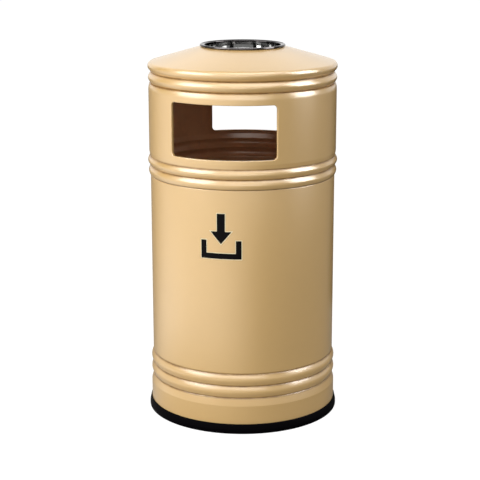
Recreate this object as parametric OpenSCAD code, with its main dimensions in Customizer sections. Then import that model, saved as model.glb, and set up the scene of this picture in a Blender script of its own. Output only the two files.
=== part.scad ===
// Round outdoor bin: sheet steel body, lift-off hood with two openings, ash bowl and inner liner.
// The origin is on the floor at the centre, +Z is up, and the front opening faces -Y.

/* [Sheet] */
// Thickness of the painted steel sheet of the body and the hood
sheet_t = 1.2; // [0.8:0.1:2]
// Thickness of the galvanised sheet of the liner
liner_t = 0.7; // [0.5:0.1:1]
// Thickness of the polished sheet of the ash bowl
bowl_t = 0.9; // [0.6:0.1:1.2]

/* [Body] */
// Outer diameter of the plain body wall
body_d = 380; // [340:1:440]
// Height of the body's top edge above the floor
body_top = 500.5; // [420:0.5:560]
// Height of the groove over the plinth
plinth_top = 73.5; // [55:0.5:90]
// How far the plinth stands out beyond the body wall
plinth_out = 4; // [2:0.5:6]
// Height of the plinth's tapered shoulder
plinth_shoulder = 16; // [10:1:30]
// Height of each of the two bottom ribs
bottom_rib_h = 25; // [18:0.5:32]
// How far the bottom ribs and the lower middle rib stand out beyond the body wall
rib_out = 3.7; // [2.5:0.1:5]
// How far the grooves at the ribs lie beyond the body wall, less than zero where they lie inside it
groove_out = -1.2; // [-2:0.1:2.2]
// Height of the folded hem inside the body's top edge
hem_h = 8; // [5:1:12]
// Width of the cover strips over the closing seams
seam_w = 30; // [20:1:40]

/* [Base ring] */
// Height of the rubber base ring
ring_h = 20; // [16:1:28]
// How far the base ring stands out beyond the plinth at the floor
ring_out = 4.8; // [3:0.1:8]
// Width of the base ring inside the plinth
ring_in = 13; // [10:1:18]
// Depth of rubber under the edge of the sheet
ring_sole = 5; // [4:0.5:7]

/* [Floor pan] */
// Height of the sunk part of the pan above the floor
pan_z = 2; // [1.5:0.1:4]
// Height of the pan's upright rim
pan_rim = 10; // [6:1:16]
// Diameter of the circle of the floor fixing holes
fixing_pcd = 240; // [160:1:260]
// Radius of a floor fixing hole
fixing_r = 4.5; // [3:0.1:6]
// Number of floor fixing holes
fixing_n = 4; // [3:1:6]
// Diameter of the circle of the drain holes
drain_pcd = 120; // [80:1:140]
// Radius of a drain hole
drain_r = 4; // [3:0.1:6]
// Number of drain holes
drain_n = 4; // [3:1:8]
// Radius of a rubber buffer under the liner
buffer_r = 12; // [9:0.5:14]
// Height of a rubber buffer over the pan
buffer_h = 8; // [6:1:14]
// Number of rubber buffers
buffer_n = 3; // [3:1:6]

/* [Hood] */
// How far the opening section stands out beyond the body wall
hood_step = 2.4; // [1.5:0.1:4]
// Height of the lower middle rib
middle_rib_h = 20; // [18:0.5:30]
// Height of the upper middle rib
upper_rib_h = 20; // [14:0.5:26]
// How far the upper middle rib stands out beyond the opening section
hood_rib_out = 2.7; // [1.5:0.1:4]
// Height of the opening section from the middle ribs to the groove under the top rib
section_h = 149; // [130:1:200]
// Height of the opening section's rounded shoulder
hood_shoulder = 13; // [10:1:24]
// How far the shoulder is drawn in before the groove
shoulder_in = 2; // [1:0.1:2.5]
// Depth of the two grooves at the top rib
notch_in = 6; // [3:0.1:7]
// Height of the top rib
top_rib_h = 22; // [16:1:28]
// How far the top rib stands out beyond the opening section
top_rib_out = 0.5; // [0.5:0.1:3]
// How far the skirt reaches down into the body
skirt_h = 22; // [14:1:30]
// Width of the flanges that join the wall and the cone
flange_w = 17; // [14:1:24]

/* [Openings] */
// Width of each opening, measured straight across
opening_w = 213; // [140:1:230]
// Height of each opening
opening_h = 107; // [70:1:112]
// Height of the wall between the middle ribs and an opening
opening_sill = 19; // [14:1:24]
// Radius of the opening's corners
opening_corner = 8; // [4:0.5:14]
// Depth of the lip that is turned inwards round an opening
lip_d = 4.5; // [3:0.5:8]

/* [Cone] */
// Angle of the cone's slope
cone_slope = 16.1; // [12:0.1:22]
// Radius of the cone's rounded edge
cone_edge_r = 9; // [6:0.5:12]
// How far the cone's edge stands out beyond the opening section
cone_edge_out = 1.2; // [0:0.1:3]
// Height of the crest of the cone's edge over the joint with the wall
cone_edge_rise = 12; // [8:0.5:16]
// Radius of the curl round the hole for the bowl
curl_r = 5.5; // [4:0.1:7]
// Height of the straight neck under the curl
neck_h = 8; // [4:1:14]

/* [Ash bowl] */
// Diameter of the bowl's rim, measured on the centre line of its roll
bowl_d = 169; // [140:1:200]
// Radius of the rolled rim
bowl_roll_r = 2.4; // [1.8:0.1:3.5]
// Depth of the bowl below the top of its rim
bowl_depth = 80; // [50:1:95]
// Depth of the step below the top of the rim
bowl_step_z = 17; // [13:1:26]
// Width of the step
bowl_step_w = 5; // [3:0.5:8]
// Radius between the bowl's wall and its floor
bowl_corner = 16; // [10:1:24]

/* [Liner] */
// Space between the body's wall and the liner's, for the liner's rim and ears
liner_gap = 25; // [20:0.5:50]
// Height of the liner's rim above the floor
liner_top = 445; // [380:1:450]
// Radius of the rolled rim of the liner
rim_roll_r = 2.8; // [2.4:0.1:3.4]
// Height of the base's upturned edge
base_edge_h = 13; // [8:1:20]
// How far the middle of the base is raised
base_rise = 4; // [2:0.5:6]
// Width of the flat ring that the liner stands on
base_flat = 16; // [12:1:22]

/* [Bail] */
// Radius of the bail's wire
bail_r = 2.5; // [2:0.1:3]
// How much smaller the bail's round part is than the liner's wall, in radius
bail_in = 5; // [4.5:0.5:35]
// Length of the straight legs between the ears and the round part
bail_leg = 12; // [8:1:13]
// Radius of the bends at the ears
bail_bend = 6; // [5:0.5:6]
// Width of an ear
ear_w = 24; // [18:1:30]
// Thickness of an ear
ear_t = 2; // [1.5:0.1:3]
// Distance from the bail's axis down to the ear's lower edge
ear_h = 46; // [40:1:60]

/* [Hidden] */
$fn = 128;

// Gap between a piece that lifts and what it rests on
seat_gap = 0.3;
// Gap round a piece that slides inside another
slip_gap = 0.5;
// Gap between pieces of one body that are welded, bonded or gripped
snug_gap = 0.05;
// Part of a half turn that is left out at each end of a rib's arc
rib_start = 20;

body_r = body_d / 2;
hood_r = body_r + hood_step;
plinth_r = body_r + plinth_out;
notch_r = hood_r - notch_in;
groove_r = body_r + groove_out;
skirt_r = body_r - 2 * sheet_t - slip_gap;
bottom_ribs_top = plinth_top + 2 * bottom_rib_h;
hood_bottom = body_top + seat_gap;
middle_groove_z = hood_bottom + middle_rib_h;
middle_ribs_top = middle_groove_z + upper_rib_h;
section_top = middle_ribs_top + section_h;
joint_z = section_top + top_rib_h;
opening_z0 = middle_ribs_top + opening_sill;
opening_z1 = opening_z0 + opening_h;
// Height over which the body's wall and the hood's run out of a rib, and how far the hood's is drawn in there
run_out = 4;
hood_run_out = 10;
draw_in = 1.8;
// Height of the edge between a shoulder and a groove
groove_edge = 1;

// Ring and floor pan
ring_top_t = 2.2;
ring_collar_z = ring_h - 6;
pan_seat_r = plinth_r - sheet_t - ring_in;
pan_slope = 8;
pan_shelf = 2;
pan_flat_r = pan_seat_r - pan_shelf - pan_slope;
pan_r = plinth_r - sheet_t - snug_gap;
pan_top = pan_z + sheet_t;
screw_r = 2;
screw_head_r = 4;
screw_head_h = 1.8;
screw_n = 6;
screw_circle = pan_r - ring_in / 2 - 1;
screw_len = 9;
screw_turn = 15;
buffer_stem_r = 3;
buffer_lip_r = 4.6;
buffer_lip_h = 1;
buffer_edge = 0.8;
buffer_circle = pan_flat_r - buffer_r - buffer_edge;

// Cone: the slope is the common tangent of the edge's arc and the curl's arc
edge_c = [hood_r + cone_edge_out - cone_edge_r, joint_z + cone_edge_rise];
bowl_r = bowl_d / 2;
edge_reach = 50;
edge_lift = 1.1;
edge_start = -asin(min(sin(edge_reach), (cone_edge_rise - edge_lift) / cone_edge_r));
slope_n = 90 - cone_slope;
curl_c = [bowl_r, edge_c[1] + (cos(slope_n) * (edge_c[0] - bowl_r) + cone_edge_r - curl_r) / sin(slope_n)];
rivet_r = 2;
rivet_head_r = 3.8;
rivet_head_h = 1.6;
rivet_n = 8;
rivet_turn = 180 / rivet_n;
rivet_circle = notch_r - flange_w / 2;

// Ash bowl
bowl_rim_z = curl_c[1] + curl_r + seat_gap + bowl_roll_r;
bowl_top = bowl_rim_z + bowl_roll_r;
bowl_wall_r = bowl_r - curl_r - slip_gap;
bowl_low_r = bowl_wall_r - bowl_step_w;

// Liner and bail
liner_r = body_r - liner_gap;
liner_z0 = pan_top + buffer_h + seat_gap;
roll_c = [liner_r - liner_t + rim_roll_r, liner_top - rim_roll_r];
roll_end = -120;
bail_bow = liner_r - bail_in;
bail_z = liner_top + seat_gap + bail_r;
ear_x = roll_c[0] + rim_roll_r + seat_gap;
ear_low_x = liner_r + snug_gap;
ear_z0 = bail_z - ear_h;
bail_play = 0.05;
washer_t = 1;
washer_r = 6;
bail_head_r = 4;
bail_head_t = 2;
ear_out_x = ear_x + ear_t;
washer_x = ear_out_x + seat_gap;
ear_joggle_z = roll_c[1] - rim_roll_r - 2;
ear_joggle_h = 8;
ear_bend_z = ear_joggle_z - ear_joggle_h;
ear_rivet_r = 2;
ear_rivet_edge = 6;
ear_rivet_zs = [ear_z0 + ear_rivet_edge, ear_bend_z - ear_rivet_edge];
ear_over = 5;

paint = [0.87, 0.75, 0.56];
rubber = [0.06, 0.05, 0.06];
zinc = [0.62, 0.65, 0.67];
steel = [0.72, 0.73, 0.74];

// Unit vector that points to the left of the way from a to b
function left_of(a, b) = let (d = b - a) [-d[1], d[0]] / norm(d);
// Mitred step from the point p[i] of a path to the other face of a sheet of thickness t
function mitre(p, i, t) =
    let (n = len(p) - 1,
        u = left_of(p[max(i - 1, 0)], p[max(i, 1)]),
        v = left_of(p[min(i, n - 1)], p[min(i + 1, n)]))
    t * (u + v) / (1 + u * v);
// Closed outline of a sheet: the path is one face, and the other lies at its left
function sheet(p, t) = concat(p, [for (i = [len(p) - 1:-1:0]) p[i] + mitre(p, i, t)]);
// Points on an arc round c from angle a0 to a1
function arc(c, r, a0, a1, n) = [for (i = [0:n]) let (a = a0 + (a1 - a0) * i / n) c + r * [cos(a), sin(a)]];
// Rib from radius ra at z0 to radius rb at z1 with its crest at radius rc: an arc of a flattened circle
function rib(ra, rb, rc, z0, z1) = [for (i = [0:8])
    let (a = rib_start + (180 - 2 * rib_start) * i / 8,
        up = (sin(a) - sin(rib_start)) / (1 - sin(rib_start)),
        along = 0.5 - cos(a) / (2 * cos(rib_start)))
    [ra + (rb - ra) * along + (rc - (ra + rb) / 2) * up, z0 + (z1 - z0) * along]];
// Shoulder that rounds in from the full radius rf at z0 to the radius rg at z1 on a cosine
function shoulder(rf, rg, z0, z1) = [for (i = [0:5])
    [rg + (rf - rg) * cos(90 * i / 5), z0 + (z1 - z0) * i / 5]];

module ring_of(count, circle, start = 0) {
    for (i = [0:count - 1]) rotate([0, 0, start + 360 * i / count]) translate([circle, 0, 0]) children();
}

// Rivet along +Z with its shank from z0 to z1 and a domed head on each end
module rivet(r, head_r, head_h, z0, z1) {
    rotate_extrude() polygon(concat(
        [[0, z0 - head_h], [head_r * 0.7, z0 - head_h], [head_r, z0 - head_h * 0.4], [head_r, z0], [r, z0]],
        [[r, z1], [head_r, z1], [head_r, z1 + head_h * 0.4], [head_r * 0.7, z1 + head_h], [0, z1 + head_h]]));
}

// Curved strip over a closing seam, inside a wall whose inner radius is r_in
module seam_strip(r_in, z0, z1) {
    half = asin(seam_w / 2 / r_in);
    rotate([0, 0, -half]) rotate_extrude(angle = 2 * half)
        translate([r_in - snug_gap - sheet_t, z0]) square([sheet_t, z1 - z0]);
}

module base_ring() {
    foot_r = plinth_r + ring_out;
    color(rubber) difference() {
        rotate_extrude() polygon([[pan_seat_r, 0], [foot_r - 1, 0], [foot_r, 1], [foot_r, ring_h * 0.4],
            [plinth_r + ring_top_t, ring_h - 0.8], [plinth_r + ring_top_t - 0.8, ring_h],
            [plinth_r + snug_gap, ring_h], [plinth_r + snug_gap, ring_sole],
            [plinth_r - sheet_t - snug_gap, ring_sole], [plinth_r - sheet_t - snug_gap, ring_collar_z],
            [pan_seat_r, ring_collar_z]]);
        translate([0, 0, ring_collar_z - screw_len]) ring_of(screw_n, screw_circle, screw_turn)
            cylinder(r = screw_r + snug_gap, h = screw_len + 1);
    }
}

module body_shell() {
    path = concat(
        [[plinth_r, ring_sole], [plinth_r, plinth_top - plinth_shoulder], [body_r, plinth_top - groove_edge]],
        rib(groove_r, groove_r, body_r + rib_out, plinth_top, plinth_top + bottom_rib_h),
        [for (p = rib(groove_r, groove_r, body_r + rib_out, plinth_top + bottom_rib_h, bottom_ribs_top))
            if (p[1] > plinth_top + bottom_rib_h) p],
        [[body_r, bottom_ribs_top + run_out], [body_r, body_top]]);
    color(paint) rotate_extrude() {
        polygon(sheet(path, sheet_t));
        translate([body_r - 2 * sheet_t, body_top - hem_h]) square([sheet_t * 1.5, hem_h]);
    }
}

module body_seam() {
    color(paint) rotate([0, 0, 90])
        seam_strip(body_r - sheet_t, bottom_ribs_top + run_out + 2, body_top - skirt_h - 4);
}

module floor_pan() {
    path = [[0, pan_z], [pan_flat_r, pan_z], [pan_seat_r - pan_shelf, ring_collar_z],
        [pan_r, ring_collar_z], [pan_r, ring_collar_z + pan_rim]];
    color(paint) difference() {
        rotate_extrude() polygon(sheet(path, sheet_t));
        translate([0, 0, pan_z - 1]) {
            ring_of(fixing_n, fixing_pcd / 2, 45) cylinder(r = fixing_r, h = sheet_t + 2);
            ring_of(drain_n, drain_pcd / 2) cylinder(r = drain_r, h = sheet_t + 2);
            ring_of(buffer_n, buffer_circle, 90) cylinder(r = buffer_stem_r + snug_gap, h = sheet_t + 2);
        }
        translate([0, 0, ring_collar_z - 1]) ring_of(screw_n, screw_circle, screw_turn)
            cylinder(r = screw_r + snug_gap, h = sheet_t + 2);
    }
}

module floor_screws() {
    head_z = ring_collar_z + sheet_t;
    color(steel) ring_of(screw_n, screw_circle, screw_turn) rotate_extrude() polygon([
        [0, head_z - screw_len - sheet_t + 1], [screw_r * 0.4, head_z - screw_len - sheet_t + 1],
        [screw_r, head_z - screw_len + 2], [screw_r, head_z], [screw_head_r, head_z],
        [screw_head_r * 0.9, head_z + screw_head_h * 0.5], [screw_head_r * 0.6, head_z + screw_head_h],
        [0, head_z + screw_head_h]]);
}

module liner_buffers() {
    color(rubber) ring_of(buffer_n, buffer_circle, 90) rotate_extrude() polygon([
        [0, pan_z - buffer_lip_h], [buffer_stem_r, pan_z - buffer_lip_h], [buffer_lip_r, pan_z],
        [buffer_stem_r, pan_z], [buffer_stem_r, pan_top], [buffer_r, pan_top],
        [buffer_r, pan_top + buffer_h - 1], [buffer_r - 1, pan_top + buffer_h], [0, pan_top + buffer_h]]);
}

// Space that an opening cuts out of a wall on the side of +X, with its four edges moved out by grow
module opening_space(grow) {
    near = hood_r * 0.6;
    far = hood_r * 1.35;
    corner_a = asin(opening_w / 2 / hood_r) - asin(opening_corner / hood_r);
    hull() for (side = [-1, 1], z = [opening_z0 + opening_corner, opening_z1 - opening_corner])
        rotate([0, 0, side * corner_a]) translate([near, 0, z]) rotate([0, 90, 0])
            cylinder(r = opening_corner + grow, h = far - near, $fn = 32);
}

module hood_wall() {
    path = concat(
        [[skirt_r, body_top - skirt_h], [skirt_r, hood_bottom]],
        rib(body_r, groove_r, body_r + rib_out, hood_bottom, middle_groove_z),
        [for (p = rib(groove_r, hood_r - draw_in, hood_r + hood_rib_out, middle_groove_z, middle_ribs_top))
            if (p[1] > middle_groove_z) p],
        [[hood_r, middle_ribs_top + hood_run_out]],
        shoulder(hood_r, hood_r - shoulder_in, section_top - hood_shoulder, section_top - groove_edge),
        rib(notch_r, notch_r, hood_r + top_rib_out, section_top, joint_z),
        [[notch_r - flange_w, joint_z]]);
    color(paint) difference() {
        union() {
            rotate_extrude() polygon(sheet(path, sheet_t));
            for (a = [-90, 90]) intersection() {
                rotate_extrude() translate([hood_r - sheet_t - lip_d, opening_z0 - 2 * sheet_t])
                    square([lip_d + sheet_t * 0.6, opening_h + 4 * sheet_t]);
                rotate([0, 0, a]) opening_space(sheet_t);
            }
        }
        for (a = [-90, 90]) rotate([0, 0, a]) opening_space(0);
        translate([0, 0, joint_z - sheet_t - 1]) ring_of(rivet_n, rivet_circle, rivet_turn)
            cylinder(r = rivet_r + snug_gap, h = sheet_t + 2);
    }
}

module hood_cone() {
    path = concat([[notch_r - flange_w, joint_z], [notch_r, joint_z]],
        arc(edge_c, cone_edge_r, edge_start, slope_n, 12),
        arc(curl_c, curl_r, slope_n, 180, 10),
        [curl_c - [curl_r, neck_h]]);
    color(paint) difference() {
        rotate_extrude() polygon(sheet(path, sheet_t));
        translate([0, 0, joint_z - 1]) ring_of(rivet_n, rivet_circle, rivet_turn)
            cylinder(r = rivet_r + snug_gap, h = sheet_t + 2);
    }
}

module hood_seam() {
    color(paint)
        seam_strip(hood_r - sheet_t, middle_ribs_top + hood_run_out + 1, section_top - hood_shoulder);
}

module top_rivets() {
    color(steel) ring_of(rivet_n, rivet_circle, rivet_turn)
        rivet(rivet_r, rivet_head_r, rivet_head_h, joint_z - sheet_t, joint_z + sheet_t);
}

module ash_bowl() {
    bottom = bowl_top - bowl_depth;
    step_z = bowl_top - bowl_step_z - bowl_t;
    path = concat([[0, bottom]],
        arc([bowl_low_r - bowl_corner, bottom + bowl_corner], bowl_corner, -90, 0, 6),
        [[bowl_low_r, step_z], [bowl_wall_r, step_z], [bowl_wall_r, bowl_rim_z]]);
    color(steel) rotate_extrude() {
        polygon(sheet(path, bowl_t));
        translate([bowl_r, bowl_rim_z]) circle(r = bowl_roll_r);
        translate([bowl_wall_r - bowl_t, bowl_rim_z]) square([bowl_r - bowl_wall_r + bowl_t, bowl_t]);
    }
}

module liner_wall() {
    inner_r = liner_r - liner_t;
    path = concat([[inner_r, liner_z0 + liner_t + snug_gap]], arc(roll_c, rim_roll_r, 180, roll_end, 16));
    color(zinc) difference() {
        rotate_extrude() polygon(sheet(path, -liner_t));
        for (side = [-1, 1], z = ear_rivet_zs) translate([0, 0, z]) rotate([0, 90 * side, 0])
            cylinder(r = ear_rivet_r + snug_gap, h = liner_r + 5);
    }
}

module liner_base() {
    edge_r = liner_r + snug_gap + liner_t;
    path = [[0, liner_z0 + base_rise], [liner_r - base_flat - base_rise, liner_z0 + base_rise],
        [liner_r - base_flat, liner_z0], [edge_r, liner_z0], [edge_r, liner_z0 + base_edge_h]];
    color(zinc) rotate_extrude() polygon(sheet(path, liner_t));
}

module liner_rim_wire() {
    color(steel) rotate_extrude() translate(roll_c) circle(r = rim_roll_r - liner_t - snug_gap);
}

// Ear on the side of +X: a joggled strap riveted to the wall, with the bail's bearing hole over the rim
module ear() {
    top = bail_z + bail_r + ear_over;
    difference() {
        translate([0, ear_w / 2, 0]) rotate([90, 0, 0]) linear_extrude(ear_w) polygon([
            [ear_low_x, ear_z0], [ear_low_x + ear_t, ear_z0], [ear_low_x + ear_t, ear_bend_z],
            [ear_out_x, ear_joggle_z], [ear_out_x, top], [ear_x, top], [ear_x, ear_joggle_z],
            [ear_low_x, ear_bend_z]]);
        translate([ear_x - 1, 0, bail_z]) rotate([0, 90, 0]) cylinder(r = bail_r + bail_play, h = ear_t + 2);
        for (z = ear_rivet_zs) translate([ear_low_x - 1, 0, z]) rotate([0, 90, 0])
            cylinder(r = ear_rivet_r + snug_gap, h = ear_t + 2);
    }
}

module ear_left() {
    color(zinc) rotate([0, 0, 180]) ear();
}

module ear_right() {
    color(zinc) ear();
}

module ear_rivets() {
    color(zinc) for (side = [0, 180], z = ear_rivet_zs) rotate([0, 0, side]) translate([0, 0, z])
        rotate([0, 90, 0]) rivet(ear_rivet_r, rivet_head_r, rivet_head_h,
            liner_r - liner_t - 2 * snug_gap, ear_low_x + ear_t);
}

// Half of the bail on the side of +X, folded down to the front
module bail_half() {
    head_x = washer_x + washer_t;
    bend_x = bail_bow + bail_bend;
    translate([bend_x, 0, bail_z]) rotate([0, 90, 0]) cylinder(r = bail_r, h = head_x - bend_x);
    translate([head_x, 0, bail_z]) rotate([0, 90, 0]) cylinder(r = bail_head_r, h = bail_head_t);
    translate([bend_x, -bail_bend, bail_z]) rotate([0, 0, 90]) rotate_extrude(angle = 90)
        translate([bail_bend, 0]) circle(r = bail_r);
    translate([bail_bow, -bail_bend, bail_z]) rotate([90, 0, 0])
        cylinder(r = bail_r, h = bail_leg);
    translate([0, -bail_bend - bail_leg, bail_z]) rotate([0, 0, -90]) rotate_extrude(angle = 90)
        translate([bail_bow, 0]) circle(r = bail_r);
}

module bail() {
    color(steel) {
        bail_half();
        mirror([1, 0, 0]) bail_half();
    }
}

module bail_washers() {
    color(zinc) for (side = [0, 180]) rotate([0, 0, side]) translate([washer_x, 0, bail_z])
        rotate([0, 90, 0]) difference() {
            cylinder(r = washer_r, h = washer_t);
            translate([0, 0, -1]) cylinder(r = bail_r + bail_play, h = washer_t + 2);
        }
}

base_ring();
body_shell();
body_seam();
floor_pan();
floor_screws();
liner_buffers();
hood_wall();
hood_cone();
hood_seam();
top_rivets();
ash_bowl();
liner_wall();
liner_base();
liner_rim_wire();
ear_left();
ear_right();
ear_rivets();
bail();
bail_washers();
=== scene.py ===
"""Surfaces and finishes of a round steel litter bin with a lift-off hood, an ash bowl and a liner."""

import math

import bmesh
import bpy
import numpy as np
from bpy.props import FloatProperty, FloatVectorProperty, PointerProperty
from mathutils import Matrix, Vector


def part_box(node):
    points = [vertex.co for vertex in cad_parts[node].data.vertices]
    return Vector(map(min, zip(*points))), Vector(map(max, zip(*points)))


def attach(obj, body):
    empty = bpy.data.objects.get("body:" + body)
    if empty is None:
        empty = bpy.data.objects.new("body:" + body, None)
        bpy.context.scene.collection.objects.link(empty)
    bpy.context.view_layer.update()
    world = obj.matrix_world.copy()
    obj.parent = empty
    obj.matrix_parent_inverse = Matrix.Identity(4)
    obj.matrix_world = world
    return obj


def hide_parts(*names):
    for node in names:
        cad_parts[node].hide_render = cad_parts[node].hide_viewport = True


bl_info = {
    "name": "Round Litter Bin",
    "version": (1, 0, 0),
    "blender": (4, 5, 0),
    "location": "View3D > Sidebar > Litter Bin",
    "description": "Builds the sheet metal, the bowl, the liner and the finishes of a round litter bin",
    "category": "Object",
}

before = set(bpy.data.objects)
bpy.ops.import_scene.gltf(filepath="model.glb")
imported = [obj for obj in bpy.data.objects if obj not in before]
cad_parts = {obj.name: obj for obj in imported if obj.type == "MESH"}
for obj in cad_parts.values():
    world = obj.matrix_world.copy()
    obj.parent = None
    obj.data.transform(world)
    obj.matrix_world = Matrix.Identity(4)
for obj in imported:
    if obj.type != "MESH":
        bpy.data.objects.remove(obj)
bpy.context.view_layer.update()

# Lowest and highest corners of the nodes that give the heights of the pieces
SHELL_LOW, SHELL_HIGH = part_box("body_shell")
HOOD_LOW, HOOD_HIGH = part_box("hood_wall")
CONE_LOW, CONE_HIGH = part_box("hood_cone")
BOWL_LOW, BOWL_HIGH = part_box("ash_bowl")
RING_LOW, RING_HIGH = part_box("base_ring")
LINER_LOW, LINER_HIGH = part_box("liner_wall")
BASE_LOW, BASE_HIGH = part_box("liner_base")

MM = 0.001
# Points of a full turn, steps along a rib, the angle at which a rib's circle starts and its share in the rib
ROUND_STEPS = 256
RIB_STEPS = 28
RIB_START = math.radians(10)
RIB_CIRCLE = 0.6
# Corners of an outline that are rounded, edges of a mesh that are sharp, and points that are one
SHARP_CORNER = math.radians(9)
SHARP_SHADING = math.radians(38)
MERGE_DISTANCE = 1e-5
# Degrees from the front to the back
BACK_TURN = 180
# How fast the painted shade in the grooves thins out, how much it covers, and the seam's height in heights of
# the orange peel
SHADE_FALL, SHADE_COVER, SEAM_RISE = 1.5, 0.8, 6.0
# Heights over the bowl's floor at which ash starts to thin and ends, and depths under the top between which
# the rim's painted dark reflection comes in
ASH_FADE = (2 * MM, 30 * MM)
RIM_REFLECTION_FADE = (7 * MM, 4 * MM)
# Darkest crystals of the spangle against the brightest
ZINC_SHADE = 0.72


def length(name, description, default):
    """A length of the add-on, in metres."""
    return FloatProperty(name=name, description=description, default=default, unit="LENGTH", precision=4)


def colour(name, description, default):
    """A linear colour of the add-on."""
    return FloatVectorProperty(name=name, description=description, default=default, subtype="COLOR",
                               size=3, min=0.0, max=1.0)


class BinSizes(bpy.types.PropertyGroup):
    """Sizes of the pieces, read where a surface needs more than the boxes of the CAD nodes say."""
    sheet: length("Sheet", "Thickness of the painted sheet", 1.2 * MM)
    body_radius: length("Body radius", "Outer radius of the plain body wall", 190 * MM)
    plinth_top: length("Plinth top", "Height of the groove over the plinth", 73.5 * MM)
    plinth_shoulder: length("Plinth shoulder", "Height of the plinth's tapered shoulder", 16 * MM)
    bottom_rib: length("Bottom rib", "Height of each bottom rib", 25 * MM)
    rib_out: length("Rib depth", "How far the bottom ribs and the lower middle rib stand out", 3.7 * MM)
    groove_out: length("Groove", "How far the grooves lie outside the wall, or inside below zero", -1.2 * MM)
    groove_edge: length("Groove edge", "Height of the edge between a shoulder and a groove", 1 * MM)
    run_out: length("Run-out", "Height over which the body's wall runs out of a rib", 4 * MM)
    hem: length("Hem", "Height of the folded hem at the body's top edge", 8 * MM)
    hood_step: length("Hood step", "How far the opening section stands out beyond the body", 2.4 * MM)
    middle_rib: length("Lower middle rib", "Height of the lower middle rib", 20 * MM)
    upper_rib: length("Upper middle rib", "Height of the upper middle rib", 20 * MM)
    hood_rib_out: length("Upper rib depth", "How far the upper middle rib stands out", 2.7 * MM)
    hood_run_out: length("Hood run-out", "Height over which the hood's wall runs out of a rib", 10 * MM)
    draw_in: length("Draw-in", "How far the hood's wall is drawn in over the middle ribs", 1.8 * MM)
    hood_shoulder: length("Hood shoulder", "Height of the rounding under the top rib", 13 * MM)
    shoulder_in: length("Shoulder depth", "How far that rounding is drawn in before the groove", 2 * MM)
    top_rib: length("Top rib", "Height of the top rib", 22 * MM)
    top_rib_out: length("Top rib depth", "How far the top rib stands out", 0.5 * MM)
    notch_in: length("Notch", "Depth of the two grooves at the top rib", 6 * MM)
    skirt: length("Skirt", "How far the hood's skirt reaches into the body", 22 * MM)
    flange: length("Flange", "Width of the flanges between the hood's wall and its cone", 17 * MM)
    opening_width: length("Opening width", "Width of an opening, straight across", 213 * MM)
    opening_height: length("Opening height", "Height of an opening", 107 * MM)
    opening_sill: length("Sill", "Wall between the middle ribs and an opening", 19 * MM)
    opening_corner: length("Corner", "Radius of an opening's corners", 8 * MM)
    lip: length("Lip", "Depth of the lip turned inwards round an opening", 4.5 * MM)
    edge_round: length("Edge rounding", "Radius where the wall turns into the lip", 1.6 * MM)
    slope: FloatProperty(name="Slope", description="Slope of the cone", subtype="ANGLE",
                         default=math.radians(16.1))
    cone_edge: length("Cone edge", "Radius of the cone's rounded edge", 9 * MM)
    cone_edge_out: length("Cone overhang", "How far the cone's edge stands out", 1.2 * MM)
    cone_edge_rise: length("Cone rise", "Height of the cone's widest place over the joint", 12 * MM)
    curl: length("Curl", "Radius of the curl round the bowl's hole", 5.5 * MM)
    neck: length("Neck", "Height of the straight neck under the curl", 8 * MM)
    bowl_sheet: length("Bowl sheet", "Thickness of the polished sheet", 0.9 * MM)
    bowl_radius: length("Bowl radius", "Radius of the rim's centre line", 84.5 * MM)
    bowl_roll: length("Bowl roll", "Radius of the rolled rim", 2.4 * MM)
    bowl_step: length("Bowl step", "Depth of the step below the rim", 17 * MM)
    bowl_step_width: length("Step width", "Width of the step", 5 * MM)
    bowl_corner: length("Bowl corner", "Radius between the bowl's wall and its floor", 16 * MM)
    liner_sheet: length("Liner sheet", "Thickness of the galvanised sheet", 0.7 * MM)
    liner_radius: length("Liner radius", "Outer radius of the liner's wall", 165 * MM)
    liner_roll: length("Liner roll", "Radius of the liner's rolled rim", 2.8 * MM)
    liner_flat: length("Liner foot", "Width of the flat ring that the liner stands on", 16 * MM)
    liner_rise: length("Liner rise", "How far the middle of the liner's base is raised", 4 * MM)
    ring_width: length("Ring width", "How far the rubber ring reaches in behind the plinth's sheet", 13 * MM)
    ring_step: length("Ring step", "How much lower the rubber ring is behind the sheet", 6 * MM)
    ring_lap: length("Ring lap", "Thickness of the rubber outside the sheet at its top edge", 2.2 * MM)
    ring_bevel: length("Ring bevel", "Bevel of the rubber at its top edge", 0.8 * MM)
    seat_gap: length("Seat gap", "Gap under a piece that rests on another", 0.3 * MM)
    slip_gap: length("Slip gap", "Gap between pieces that slide past each other", 0.5 * MM)
    sign_height: length("Sign height", "Height of the sign's middle over the floor", 408 * MM)
    sign_layer: length("Vinyl", "Thickness of one layer of vinyl", 0.12 * MM)
    sign_border: length("Sign border", "Width of the pale border round the sign's shapes", 1.7 * MM)


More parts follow.
